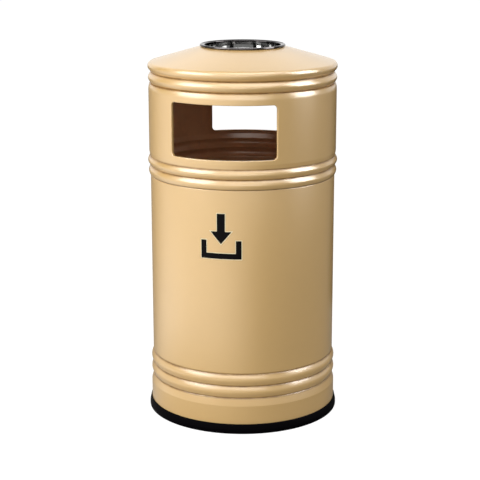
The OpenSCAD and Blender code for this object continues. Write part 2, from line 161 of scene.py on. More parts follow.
class BinColours(bpy.types.PropertyGroup):
    """Colours of the finishes, as linear values."""
    enamel: colour("Enamel", "Cream-beige enamel on the outside", (0.775, 0.498, 0.190))
    # Painted shade: the inside's coat is a darker, browner copy of the enamel
    shaded_inner_coat: colour("Shaded inner coat", "Thin enamel on the inside, darkened as painted shade", (0.68, 0.35, 0.17))
    rubber: colour("Rubber", "Black rubber of the ring and the buffers", (0.0012, 0.0008, 0.0015))
    polished: colour("Polished steel", "Stainless steel of the ash bowl", (0.38, 0.38, 0.375))
    zinc: colour("Zinc", "Galvanised sheet of the liner", (0.42, 0.45, 0.47))
    plated: colour("Zinc plate", "Screws, rivets and washers", (0.50, 0.50, 0.48))
    wire: colour("Wire", "Drawn wire of the bail", (0.40, 0.41, 0.42))
    vinyl: colour("Vinyl", "Black layer of the sign", (0.0012, 0.0008, 0.001))
    border: colour("Border", "Pale layer of the sign", (0.93, 0.80, 0.52))
    # Painted shade: brown laid into the grooves where shade falls
    groove_shade: colour("Groove shade", "Brown shade painted in the grooves", (0.20, 0.085, 0.015))
    dust: colour("Dust", "Dust on the faces that look up", (0.56, 0.50, 0.40))
    scuff: colour("Scuff", "Scuffs in the inner coat", (0.30, 0.20, 0.13))
    rubber_dust: colour("Rubber dust", "Dust on the rubber", (0.06, 0.05, 0.045))
    # Painted reflection: dark colour laid on the bowl's rim
    rim: colour("Bowl rim", "Painted dark reflection on the ash bowl's rim", (0.06, 0.055, 0.055))
    ash: colour("Ash", "Smudges of ash on the bowl's floor", (0.10, 0.095, 0.09))
    bare_zinc: colour("Bare zinc", "Scuffs in the galvanised sheet", (0.60, 0.61, 0.62))
    dirt: colour("Dirt", "Dirt on the liner", (0.20, 0.17, 0.14))


class BinStage(bpy.types.PropertyGroup):
    """Where the photograph's camera stands, and how bright the lamps are."""
    azimuth: FloatProperty(name="Azimuth", description="Turn of the camera round the bin", subtype="ANGLE",
                           default=math.radians(12.86))
    distance: length("Distance", "Distance from the bin's axis to the camera", 2.86)
    height: length("Height", "Height of the camera over the floor", 1.059)
    sideways: length("Sideways", "How far the camera stands to the right of the axis", 0.009)
    pitch: FloatProperty(name="Pitch", description="How far the camera looks down", subtype="ANGLE",
                         default=math.radians(13.81))
    lens: FloatProperty(name="Lens", description="Focal length on a 36 mm sensor", unit="CAMERA",
                        default=105.2)
    shift_x: FloatProperty(name="Shift X", description="Sideways shift of the picture", default=-0.0146)
    ambient: FloatProperty(name="Ambient", description="Light of the surroundings", default=0.56)
    key_power: FloatProperty(name="Key", description="Power of the large soft lamp at the left", unit="POWER",
                             default=29.5)
    top_power: FloatProperty(name="Top", description="Power of the soft lamp overhead", unit="POWER",
                             default=11.5)


def arc(centre, radius, start, end, steps):
    """Points centre + radius * (cos a, sin a) for a from start to end, in degrees."""
    a = np.radians(np.linspace(start, end, steps + 1))
    return np.stack([centre[0] + radius * np.cos(a), centre[1] + radius * np.sin(a)], 1)


def rib(foot, top, crest, low, high):
    """A rolled rib up the wall, for a from b to 180 - b with b = 10 degrees: along = 0.5 - cos a / (2 cos b),
    the height is low + (high - low) * along, and the radius is foot + (top - foot) * along, plus the crest's
    height over their middle times 0.6 (sin a - sin b) / (1 - sin b) + 0.4 sin^2(180 degrees * along)."""
    start = math.sin(RIB_START)
    a = np.linspace(RIB_START, math.pi - RIB_START, RIB_STEPS + 1)
    along = 0.5 - np.cos(a) / (2 * math.cos(RIB_START))
    circle, swell = (np.sin(a) - start) / (1 - start), np.sin(math.pi * along) ** 2
    up = RIB_CIRCLE * circle + (1 - RIB_CIRCLE) * swell
    return np.stack([foot + (top - foot) * along + (crest - (foot + top) / 2) * up,
                     low + (high - low) * along], 1)


def shoulder_radius(full, groove, low, high, z):
    """Radius of a rounded shoulder at height z: groove + (full - groove) * cos(90 degrees * share), where the
    share is (z - low) / (high - low), and 0 below low."""
    share = np.clip((z - low) / (high - low), 0, 1)
    return groove + (full - groove) * np.cos(share * math.pi / 2)


def joined(*parts):
    """One path of several, without the points that repeat the one before them."""
    path = np.concatenate([np.atleast_2d(np.asarray(p, float)) for p in parts])
    fresh = np.linalg.norm(np.diff(path, axis=0), axis=1) > MERGE_DISTANCE
    return path[np.concatenate([[True], fresh])]


def soften(path, reach, steps=5, closed=False):
    """Rounds the sharp corners of a path: corner P between A and B, on its two edges and no further than
    reach from it, gives way to the curve (1 - t)^2 A + 2 t (1 - t) P + t^2 B."""
    if closed:
        path = np.concatenate([path[-1:], path, path[:1]])
    t = np.linspace(0, 1, steps)[:, None]
    edge = np.diff(path, axis=0)
    size = np.linalg.norm(edge, axis=1)
    way = edge / size[:, None]
    out = [] if closed else [path[:1]]
    for i in range(1, len(path) - 1):
        turn = math.acos(float(np.clip(way[i - 1] @ way[i], -1, 1)))
        if turn < SHARP_CORNER:
            out.append(path[i:i + 1])
            continue
        a = path[i] - way[i - 1] * min(reach, size[i - 1] * 0.45)
        b = path[i] + way[i] * min(reach, size[i] * 0.45)
        out.append((1 - t) ** 2 * a + 2 * t * (1 - t) * path[i] + t ** 2 * b)
    return np.concatenate(out if closed else [*out, path[-1:]])


def other_face(path, thickness):
    """The other face of a sheet: each point moves by thickness * (u + v) / (1 + u . v), where u and v are the
    left-hand normals of the edges before and after it."""
    edge = np.diff(path, axis=0)
    normal = np.stack([-edge[:, 1], edge[:, 0]], 1) / np.linalg.norm(edge, axis=1, keepdims=True)
    before = np.concatenate([normal[:1], normal])
    after = np.concatenate([normal, normal[-1:]])
    return path + thickness * (before + after) / (1 + (before * after).sum(1, keepdims=True))


def round_turns():
    """Even turns round the axis, in degrees from the front."""
    return np.arange(ROUND_STEPS) * 360 / ROUND_STEPS


def placed(turn, radius, height):
    """Points at a turn, in degrees from the front to +X: x = radius * sin turn, y = -radius * cos turn."""
    a = np.radians(turn)
    return np.stack([radius * np.sin(a), -radius * np.cos(a), height + 0 * a], -1)


def grid_quads(rows, columns, closed_rows=False, closed_columns=False, first=0):
    """Corners of the quads of a grid of points that is stored row by row."""
    i = np.arange(rows if closed_rows else rows - 1)[:, None]
    j = np.arange(columns if closed_columns else columns - 1)[None, :]
    i_next, j_next = (i + 1) % rows, (j + 1) % columns
    quads = [i * columns + j, i * columns + j_next, i_next * columns + j_next, i_next * columns + j]
    return first + np.stack(quads, -1).reshape(-1, 4)


class Patches:
    """Grids of points that become one mesh, each with the number of its finish."""

    def __init__(self):
        self.points, self.quads, self.finishes, self.count = [], [], [], 0

    def add(self, points, finish=0, closed_rows=False, closed_columns=False):
        """Adds a grid of points, shaped rows x columns x 3, whose strips of quads may have a finish each."""
        rows, columns = points.shape[:2]
        quads = grid_quads(rows, columns, closed_rows, closed_columns, self.count)
        strips = rows if closed_rows else rows - 1
        self.finishes.append(np.repeat(np.broadcast_to(finish, strips), len(quads) // strips))
        self.points.append(points.reshape(-1, 3))
        self.quads.append(quads)
        self.count += rows * columns

    def revolve(self, outline, turns, finish=0, closed=False):
        """Adds an outline of (radius, height) carried round the axis through all the turns."""
        points = placed(turns[None, :], outline[:, :1], outline[:, 1:])
        self.add(points, finish, closed_rows=closed, closed_columns=True)

    def mesh(self, name):
        """One closed mesh of all the grids: doubles merged, faces outwards, smooth but for sharp edges."""
        points, quads = np.concatenate(self.points), np.concatenate(self.quads)
        mesh = bpy.data.meshes.new(name)
        mesh.vertices.add(len(points))
        mesh.vertices.foreach_set("co", points.astype(np.float32).ravel())
        mesh.loops.add(quads.size)
        mesh.loops.foreach_set("vertex_index", quads.astype(np.int32).ravel())
        mesh.polygons.add(len(quads))
        mesh.polygons.foreach_set("loop_start", np.arange(0, quads.size, 4, dtype=np.int32))
        mesh.polygons.foreach_set("material_index", np.concatenate(self.finishes).astype(np.int32))
        mesh.update(calc_edges=True)
        tidy(mesh)
        return mesh


def tidy(mesh):
    """Merges doubles, turns the faces outwards and shades them smooth up to the sharp angle."""
    shape = bmesh.new()
    shape.from_mesh(mesh)
    bmesh.ops.remove_doubles(shape, verts=shape.verts, dist=MERGE_DISTANCE)
    bmesh.ops.dissolve_degenerate(shape, edges=shape.edges, dist=MERGE_DISTANCE / 10)
    bmesh.ops.recalc_face_normals(shape, faces=shape.faces)
    shape.to_mesh(mesh)
    shape.free()
    mesh.polygons.foreach_set("use_smooth", np.ones(len(mesh.polygons), bool))
    mesh.set_sharp_from_angle(angle=SHARP_SHADING)
    mesh.update()


def linked(name, data):
    """A new object of the scene that holds the data."""
    made = bpy.data.objects.new(name, data)
    bpy.context.scene.collection.objects.link(made)
    return made


def piece(name, mesh, finishes, body, slot, *nodes):
    """Puts a mesh in the scene as a piece that rides on a body and stands for CAD nodes."""
    made = linked(name, mesh)
    for finish in finishes:
        mesh.materials.append(finish)
    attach(made, body)
    if nodes:
        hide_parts(*nodes)
    return made


def round_piece(name, outlines, finishes, body, slot, node, closed=False):
    """A piece of one or two outlines that are carried round the axis, the second in the second finish."""
    patches = Patches()
    for number, outline in enumerate(outlines):
        patches.revolve(outline, round_turns(), number, closed)
    piece(name, patches.mesh(name), finishes, body, slot, node)


class Tree:
    """A shader node tree that is filled from left to right."""

    def __init__(self, tree):
        self.tree = tree

    def put(self, node, inputs):
        """Gives each named or numbered input of a node its value, or a link from another node's output."""
        for key, value in inputs.items():
            if isinstance(value, bpy.types.NodeSocket):
                self.tree.links.new(value, node.inputs[key])
            else:
                node.inputs[key].default_value = value
        return node

    def node(self, kind, inputs=None, **settings):
        """Adds a node with its settings and its inputs."""
        made = self.tree.nodes.new("ShaderNode" + kind)
        made.location = (220 * len(self.tree.nodes), 0)
        for key, value in settings.items():
            setattr(made, key, value)
        return self.put(made, inputs or {})

    def group(self, name, **inputs):
        """Output of a shared group, placed here with its own values."""
        return self.node("Group", inputs, node_tree=shared_group(name)).outputs[0]

    def math(self, operation, *values):
        """Output of a Math node."""
        return self.node("Math", dict(enumerate(values)), operation=operation).outputs[0]

    def vector(self, operation, *values, **inputs):
        """The Vector Math node of an operation."""
        return self.node("VectorMath", {**dict(enumerate(values)), **inputs}, operation=operation)

    def axes(self, vector):
        """The x, y and z of a vector."""
        return self.node("SeparateXYZ", {0: vector}).outputs

    def ramp(self, value, low, high, to_low=0.0, to_high=1.0):
        """Output of a smooth step from to_low at low to to_high at high."""
        return self.node("MapRange", {"Value": value, "From Min": low, "From Max": high, "To Min": to_low,
                                      "To Max": to_high}, interpolation_type="SMOOTHSTEP").outputs["Result"]

    def mix(self, share, first, second):
        """Colour between the first and the second."""
        return self.node("Mix", {0: share, 6: first, 7: second}, data_type="RGBA").outputs[2]

    def noise(self, vector, scale, detail=2.0, roughness=0.5):
        """Value of a noise texture."""
        return self.node("TexNoise", {"Vector": vector, "Scale": scale, "Detail": detail,
                                      "Roughness": roughness}).outputs[0]

    def turn_about_axis(self, vector, angle):
        """A vector turned round the bin's axis."""
        made = self.node("VectorRotate", {"Vector": vector, "Angle": angle}, rotation_type="Z_AXIS")
        return made.outputs[0]

    def bump(self, height, distance):
        """Normal of a surface with a height in units of distance."""
        return self.node("Bump", {"Height": height, "Distance": distance, "Strength": 1.0}).outputs[0]


# Each of the next functions lays out a shared group: it takes the group's tree, its inputs and the surface's
# coordinates, and returns the socket that the group puts out
def tone_drift(tree, given, place):
    """A colour that drifts a little lighter and darker in slow patches and in fine ones."""
    slow = tree.noise(place["Object"], given["Scale"])
    fine = tree.noise(place["Object"], tree.math("MULTIPLY", given["Scale"], 9.0), 3.0)
    both = tree.math("ADD", tree.math("MULTIPLY", slow, 0.7), tree.math("MULTIPLY", fine, 0.3))
    swing = tree.math("MULTIPLY", tree.math("SUBTRACT", both, 0.5), given["Amount"])
    return tree.vector("SCALE", given["Colour"], Scale=tree.math("ADD", swing, 1.0)).outputs[0]


def settled_dust(tree, given, place):
    """Mask of the dust that lies on faces that look up, in soft patches."""
    up = tree.axes(place["Normal"])[2]
    patches = tree.ramp(tree.noise(place["Object"], given["Scale"], 4.0, 0.6), 0.35, 0.7)
    return tree.math("MULTIPLY", tree.math("MULTIPLY", tree.ramp(up, 0.2, 1.0), patches), given["Amount"])


def orange_peel(tree, given, place):
    """Height of the fine waves that sprayed enamel sets in."""
    waves = tree.noise(place["Object"], given["Scale"], 1.0)
    slow = tree.noise(place["Object"], tree.math("MULTIPLY", given["Scale"], 0.2), 1.0)
    return tree.math("ADD", waves, slow)


def closing_seam(tree, given, place):
    """Height of the ground weld that closes the wall, a low line at a turn round the axis."""
    turned = tree.turn_about_axis(place["Object"], given["Turn"])
    x, y, _ = tree.axes(turned)
    near = tree.ramp(tree.math("ABSOLUTE", x), 0.0, given["Width"], 1.0, 0.0)
    line = tree.math("MULTIPLY", near, tree.math("LESS_THAN", y, 0.0))
    return tree.math("MULTIPLY", line, tree.noise(turned, 220.0))


def painted_groove_shade(tree, given, place):
    """Mask of painted shade in a groove, strongest at its height and gone at its reach."""
    away = tree.math("ABSOLUTE", tree.math("SUBTRACT", tree.axes(place["Object"])[2], given["Height"]))
    patches = tree.ramp(tree.noise(place["Object"], 60.0, 3.0), 0.2, 0.7, 0.75, 1.0)
    return tree.math("MULTIPLY", tree.ramp(away, 0.0, given["Reach"], 1.0, 0.0), patches)


def spun_rings(tree, given, place):
    """Height of the fine rings that spinning and polishing leave round the axis."""
    x, y, z = tree.axes(place["Object"])
    radius = tree.vector("LENGTH", tree.node("CombineXYZ", {0: x, 1: y}).outputs[0]).outputs["Value"]
    count = tree.math("DIVIDE", tree.math("ADD", radius, z), given["Pitch"])
    return tree.node("TexNoise", {"W": count, "Scale": 1.0, "Detail": 3.0}, noise_dimensions="1D").outputs[0]


def fine_scratches(tree, given, place):
    """Mask of fine scratches in two directions."""
    lines = []
    for turn, stretch in (((0.3, 0.2, 0.9), (1, 1, 0.04)), ((0.9, 1.1, 0.1), (0.05, 1, 1))):
        mapped = tree.node("Mapping", {"Vector": place["Object"], "Rotation": turn, "Scale": stretch})
        lines.append(tree.ramp(tree.noise(mapped.outputs[0], given["Scale"], 6.0, 0.7), 0.60, 0.72))
    return tree.math("MAXIMUM", *lines)


def zinc_spangle(tree, given, place):
    """Brightness of the zinc crystals that hot-dip galvanising leaves, with borders that wander by 6 mm."""
    drift = tree.node("TexNoise", {"Vector": place["Object"], "Scale": 60.0}).outputs["Color"]
    shift = tree.vector("SCALE", drift, Scale=6 * MM).outputs[0]
    bent = tree.vector("ADD", place["Object"], shift).outputs[0]
    cells = tree.node("TexVoronoi", {"Vector": bent, "Scale": given["Scale"]}).outputs["Color"]
    return tree.node("SeparateColor", {0: cells}).outputs[0]


# The shared groups by name: the function that lays them out, their output and their inputs with the defaults
GROUPS = {
    "Tone Drift": (tone_drift, "Colour", {"Colour": (0.8, 0.8, 0.8, 1), "Amount": 0.1, "Scale": 8.0}),
    "Settled Dust": (settled_dust, "Mask", {"Amount": 0.3, "Scale": 30.0}),
    "Orange Peel": (orange_peel, "Height", {"Scale": 500.0}),
    "Closing Seam": (closing_seam, "Height", {"Turn": 0.0, "Width": 1.5 * MM}),
    "Painted Groove Shade": (painted_groove_shade, "Mask", {"Height": 0.0, "Reach": 3 * MM}),
    "Spun Rings": (spun_rings, "Height", {"Pitch": 0.6 * MM}),
    "Fine Scratches": (fine_scratches, "Mask", {"Scale": 60.0}),
    "Zinc Spangle": (zinc_spangle, "Value", {"Scale": 90.0}),
}


def group_socket(group, label, way):
    """Adds a socket to a group, for a colour where it is called so and else for a number."""
    kind = "NodeSocketColor" if label == "Colour" else "NodeSocketFloat"
    return group.interface.new_socket(name=label, in_out=way, socket_type=kind)


def shared_group(name):
    """The shader group of that name, laid out by its function the first time it is asked for."""
    made = bpy.data.node_groups.get(name)
    if made:
        return made
    lay_out, output, inputs = GROUPS[name]
    made = bpy.data.node_groups.new(name, "ShaderNodeTree")
    for label, default in inputs.items():
        group_socket(made, label, "INPUT").default_value = default
    group_socket(made, output, "OUTPUT")
    tree = Tree(made)
    result = lay_out(tree, made.nodes.new("NodeGroupInput").outputs, tree.node("TexCoord").outputs)
    made.links.new(result, made.nodes.new("NodeGroupOutput").inputs[0])
    return made


def material(name, lay_out, *values):
    """The material of that name, whose shader gets its inputs from a function when it is first asked for."""
    made = bpy.data.materials.get(name)
    if not made:
        made = bpy.data.materials.new(name)
        made.use_nodes = True
        tree = Tree(made.node_tree)
        tree.put(made.node_tree.nodes["Principled BSDF"], lay_out(tree, *values))
    return made


def dusted(tree, base, dust, roughness, amount, scale):
    """Base colour and roughness of a surface, both changed where dust lies."""
    mask = tree.group("Settled Dust", Amount=amount, Scale=scale)
    return {"Base Color": tree.mix(mask, base, (*dust, 1)),
            "Roughness": tree.ramp(mask, 0.0, 0.6, roughness, 0.75)}


def scuffed(tree, base, colour, share, scale):
    """Base colour with fine scuffs of another colour that cover the given share of it."""
    mask = tree.math("MULTIPLY", tree.group("Fine Scratches", Scale=scale), share)
    return tree.mix(mask, base, (*colour, 1))


# Each of the next functions lays out a finish: it adds nodes to a tree and returns the inputs of the shader,
# where what is the same all over the surface stays a plain value
def enamel(tree, colours, grooves, seam_turn=None):
    """Gloss enamel: slow tone drift, orange peel, a little dust, painted shade in the grooves with less gloss
    there, and the weld seam.
    """
    # Brown painted shade along each groove, which also takes the coat away there
    groove_shade = 0.0
    for groove in grooves:
        groove_shade = tree.math("MAXIMUM", groove_shade, tree.group("Painted Groove Shade", Height=groove, Reach=4.5 * MM))
    groove_shade = tree.math("POWER", groove_shade, SHADE_FALL)
    clean = tree.group("Tone Drift", Colour=(*colours.enamel, 1), Amount=0.09, Scale=5.0)
    base = tree.mix(tree.math("MULTIPLY", groove_shade, SHADE_COVER), clean, (*colours.groove_shade, 1))
    height = tree.group("Orange Peel", Scale=420.0)
    if seam_turn is not None:
        seam = tree.group("Closing Seam", Turn=math.radians(seam_turn), Width=2.2 * MM)
        height = tree.math("ADD", height, tree.math("MULTIPLY", seam, SEAM_RISE))
    return {**dusted(tree, base, colours.dust, roughness=0.28, amount=0.04, scale=22.0),
            "Coat Weight": tree.ramp(groove_shade, 0.0, 0.7, 0.8, 0.0), "Coat Roughness": 0.26,
            "Normal": tree.bump(height, 0.012 * MM)}


def shaded_inner_coat(tree, colours):
    """Thin coat inside the sheets, darker and browner than the enamel as painted shade: semi-gloss, uneven,
    with fine scuffs.
    """
    base = tree.group("Tone Drift", Colour=(*colours.shaded_inner_coat, 1), Amount=0.5, Scale=14.0)
    worn = scuffed(tree, base, colours.scuff, share=0.25, scale=40.0)
    return {**dusted(tree, worn, colours.dust, roughness=0.24, amount=0.1, scale=26.0),
            "Specular IOR Level": 0.3,
            "Normal": tree.bump(tree.group("Orange Peel", Scale=300.0), 0.02 * MM)}


def rubber(tree, colours):
    """Black moulded rubber: fine matt grain, with dust on the ledges."""
    base = tree.group("Tone Drift", Colour=(*colours.rubber, 1), Amount=0.6, Scale=30.0)
    grain = tree.noise(tree.node("TexCoord").outputs["Object"], 1600.0, 3.0, 0.6)
    return {**dusted(tree, base, colours.rubber_dust, roughness=0.5, amount=0.05, scale=40.0),
            "Specular IOR Level": 0.02, "Normal": tree.bump(grain, 0.05 * MM)}


def polished_steel(tree, colours):
    """Mirror-polished steel: fine spun rings, a rim darkened as painted reflection, and grey ash smudges on
    the floor of the bowl.
    """
    place = tree.node("TexCoord").outputs["Object"]
    height = tree.axes(place)[2]
    low = tree.ramp(height, *(BOWL_LOW.z + up for up in ASH_FADE), 1.0, 0.0)
    smudge = tree.math("MULTIPLY", low, tree.ramp(tree.noise(place, 30.0, 4.0, 0.55), 0.3, 0.9))
    # Painted reflection: the rim is darkened towards its top
    rim = tree.ramp(height, *(BOWL_HIGH.z - down for down in RIM_REFLECTION_FADE))
    clean = tree.mix(rim, (*colours.polished, 1), (*colours.rim, 1))
    rings = tree.group("Spun Rings", Pitch=0.9 * MM)
    gloss = tree.ramp(rings, 0.3, 0.7, 0.035, 0.075)
    return {"Base Color": tree.mix(tree.math("MULTIPLY", smudge, 0.4), clean, (*colours.ash, 1)),
            "Roughness": tree.math("ADD", gloss, tree.math("MULTIPLY", smudge, 0.3)),
            "Metallic": 1.0, "Normal": tree.bump(rings, 0.0012 * MM)}


def galvanised(tree, colours):
    """Hot-dip galvanised sheet: spangle that changes its tone, with fine scuffs and dirt."""
    crystal = tree.group("Zinc Spangle", Scale=95.0)
    darker = [ZINC_SHADE * part for part in colours.zinc]
    base = tree.mix(crystal, (*darker, 1), (*colours.zinc, 1))
    worn = scuffed(tree, base, colours.bare_zinc, share=0.35, scale=30.0)
    return {**dusted(tree, worn, colours.dirt, roughness=0.38, amount=0.35, scale=18.0),
            "Metallic": 0.85, "Normal": tree.bump(crystal, 0.02 * MM)}


def plated(tree, tone, grain):
    """Bright metal of small parts and wire: brushed tone and gloss that change along fine streaks."""
    streaks = tree.group("Fine Scratches", Scale=grain)
    return {"Base Color": tree.group("Tone Drift", Colour=(*tone, 1), Amount=0.5, Scale=120.0),
            "Roughness": tree.ramp(streaks, 0.0, 1.0, 0.26, 0.48), "Metallic": 1.0,
            "Normal": tree.bump(streaks, 0.01 * MM)}


def vinyl(tree, tone):
    """Thin vinyl film: faint tone drift and a soft satin surface."""
    return {"Base Color": tree.group("Tone Drift", Colour=(*tone, 1), Amount=0.2, Scale=40.0),
            "Roughness": 0.45, "Specular IOR Level": 0.04,
            "Normal": tree.bump(tree.group("Orange Peel", Scale=700.0), 0.006 * MM)}


def matt_black(tree):
    """Black that mirrors nothing, for the dark cards of the stage."""
    return {"Base Color": (0.01, 0.01, 0.01, 1), "Roughness": 1.0, "Specular IOR Level": 0.0}


class Builder(bpy.types.Operator):
    """Shared part of the operators: the sizes, the colours and the two finishes of a sheet."""
    bl_options = {"REGISTER", "UNDO"}

    def execute(self, context):
        self.sizes = context.scene.bin_sizes
        self.colours = context.scene.bin_colours
        self.make(context)
        return {"FINISHED"}

    def coats(self, name, grooves, seam_turn=None):
        """The enamel on one sheet's outside and the thin coat on its inside, whose darker brown is painted
        shade.
        """
        return [material(name, enamel, self.colours, grooves, seam_turn),
                material("shaded_inner_coat", shaded_inner_coat, self.colours)]


class LITTERBIN_OT_body(Builder):
    """Body wall: a sheet cylinder with plinth, two bottom ribs and a folded hem"""
    bl_idname = "litter_bin.body"
    bl_label = "Body Wall"

    def make(self, context):
        s = self.sizes
        wall, groove, crest = s.body_radius, s.body_radius + s.groove_out, s.body_radius + s.rib_out
        plinth, low, top = SHELL_HIGH.x, SHELL_LOW.z, SHELL_HIGH.z
        middle, high = s.plinth_top + s.bottom_rib, s.plinth_top + 2 * s.bottom_rib
        outer = soften(joined(
            [[plinth, low], [plinth, s.plinth_top - s.plinth_shoulder]],
            [wall, s.plinth_top - s.groove_edge],
            rib(groove, groove, crest, s.plinth_top, middle),
            rib(groove, groove, crest, middle, high),
            [[wall, high + s.run_out], [wall, top - s.sheet]]), reach=0.6 * MM)
        fold = arc((wall - s.sheet, top - s.sheet), s.sheet, 0, 180, 8)
        hem = [[wall - 2 * s.sheet, top - s.hem], [wall - s.sheet, top - s.hem]]
        inner = other_face(outer, s.sheet)
        inner = inner[inner[:, 1] < top - s.hem - s.sheet]
        round_piece("body_wall", [joined(outer, fold), joined(fold[-1:], hem, inner[::-1], outer[:1])],
                    self.coats("enamel_body", (s.plinth_top, middle, high), BACK_TURN),
                    "body", "body_paint", "body_shell")


class LITTERBIN_OT_base_ring(Builder):
    """Base ring: black rubber that grips the lower edge of the body"""
    bl_idname = "litter_bin.base_ring"
    bl_label = "Base Ring"

    foot_bevel = 1 * MM
    # Share of the ring's height up to which its outside is upright
    upright = 0.4
    # Gap between the rubber and the sheet that it grips
    skin = 0.02 * MM

    def make(self, context):
        s = self.sizes
        sole, foot, top = SHELL_LOW.z, -RING_LOW.x, RING_HIGH.z
        outside, inside = SHELL_HIGH.x + self.skin, SHELL_HIGH.x - s.sheet - self.skin
        lap, step = SHELL_HIGH.x + s.ring_lap, top - s.ring_step
        seat = SHELL_HIGH.x - s.sheet - s.ring_width
        outline = np.array([
            [seat, 0], [foot - self.foot_bevel, 0], [foot, self.foot_bevel], [foot, top * self.upright],
            [lap, top - s.ring_bevel], [lap - s.ring_bevel, top], [outside, top], [outside, sole],
            [inside, sole], [inside, step], [seat, step]])
        round_piece("rubber_ring", [soften(outline, reach=1.1 * MM, closed=True)],
                    [material("rubber", rubber, self.colours)],
                    "body", "base_rubber", "base_ring", closed=True)


def joined_line(stops, steps):
    """Even steps between each stop and the next."""
    parts = [np.linspace(a, b, n + 1)[:-1] for a, b, n in zip(stops[:-1], stops[1:], steps)]
    return np.concatenate([*parts, [stops[-1]]])


class OpeningGrid:
    """Rows of points round an opening of the hood's wall, from the wall's plain grid over the lip and back.

    In the wall's own turn and height, each point of the loop belongs to a centre on the corners' centre lines
    and lies at (corner radius + d) * (cos t, sin t) from it, at depth e under the outer face."""
    corner_columns, middle_columns, corner_rows, middle_rows, side_columns = 10, 46, 8, 24, 76
    # Steps of the flat ring round the opening, over its rounded edge, round the lip's tip and behind the lip,
    # and how many steps round the tip the enamel reaches
    ring_steps, edge_steps, tip_steps, back_steps, tip_painted = 5, 6, 6, 4, 4
    # How far the block of points round the opening reaches beyond it: degrees at its sides, below and above
    block_turn, block_below, block_above = 5, 5 * MM, 5.5 * MM
    back_round = 0.8 * MM

    def __init__(self, s, radius, low, high):
        self.s, self.low, self.high = s, low, high
        half, round_off = s.opening_width / 2, s.opening_corner
        self.corner = math.degrees(math.asin(half / radius) - math.asin(round_off / radius))
        self.block = self.corner + self.block_turn
        self.block_low, self.block_high = low - self.block_below, high + self.block_above
        self.column_turns = joined_line([-self.block, -self.corner, self.corner, self.block],
                                        [self.corner_columns, self.middle_columns, self.corner_columns])
        self.row_heights = joined_line(
            [self.block_low, low + s.opening_corner, high - s.opening_corner, self.block_high],
            [self.corner_rows, self.middle_rows, self.corner_rows])
        self.side_turns = joined_line([self.block, BACK_TURN - self.block], [self.side_columns])

    def turns(self):
        """Turns of all the columns of the hood's wall, denser at the sides of the two openings."""
        half = np.concatenate([self.column_turns[:-1], self.side_turns[:-1]])
        return np.concatenate([half, half + BACK_TURN])

    def boundary(self):
        """Turn, height and loop angle t of the points round the block that holds the opening, clockwise."""
        c, r = self.column_turns, self.row_heights[::-1]
        turn = np.concatenate([c[:-1], np.full(len(r) - 1, c[-1]), c[::-1][:-1], np.full(len(r) - 1, c[0])])
        height = np.concatenate([np.full(len(c) - 1, r[0]), r[:-1], np.full(len(c) - 1, r[-1]), r[::-1][:-1]])
        share = 90 * self.corner_rows / (self.corner_rows + self.corner_columns)
        across, upright = (len(c), self.corner_columns, 90 - share), (len(r), self.corner_rows, share)
        angle = []
        for middle, (count, zone, reach) in zip((90, 0, -90, -180), (across, upright, across, upright)):
            steps = [0, zone, count - 1 - zone, count - 1]
            turned = [middle + reach, middle, middle, middle - reach]
            angle.append(np.interp(np.arange(count - 1), steps, turned))
        return turn, height, np.concatenate(angle)

    def loop(self, wall_radius, d, e):
        """Turn, height and radius of the loop at the distance d into the wall and the depth e under it."""
        turn, height, t = self.boundary()
        corner = self.s.opening_corner
        across, up = (corner + d) * np.cos(np.radians(t)), (corner + d) * np.sin(np.radians(t))
        z = np.clip(height, self.low + corner, self.high - corner) + up
        radius = wall_radius(z) - e
        return np.clip(turn, -self.corner, self.corner) + np.degrees(np.arctan(across / radius)), z, radius

    def ring(self, wall_radius, d, e):
        """Rows on one face of the wall, from the block's edge to the loop at distance d."""
        turn, height, _ = self.boundary()
        near_turn, near_height, _ = self.loop(wall_radius, d, e)
        share = np.linspace(0, 1, self.ring_steps + 1)[:, None]
        turns = turn + (near_turn - turn) * share
        heights = height + (near_height - height) * share
        return np.stack([turns, heights, wall_radius(heights) - e], -1)

    def rows(self, wall_radius):
        """All rows round one opening, and the number of the first strip that has the inner finish."""
        s = self.s
        edge, depth, half, back = s.edge_round, s.sheet + s.lip, s.sheet / 2, s.sheet + self.back_round
        section = joined(arc((edge, edge), edge, -90, -180, self.edge_steps),
                         arc((half, depth - half), half, 180, 0, self.tip_steps),
                         arc((back, back), self.back_round, 180, 270, self.back_steps))
        outside = self.ring(wall_radius, edge, 0)
        inside = self.ring(wall_radius, section[-1][0], s.sheet)[::-1]
        lip = np.stack([np.stack(self.loop(wall_radius, d, e), -1) for d, e in section[1:-1]])
        return np.concatenate([outside, lip, inside]), len(outside) + self.edge_steps + self.tip_painted


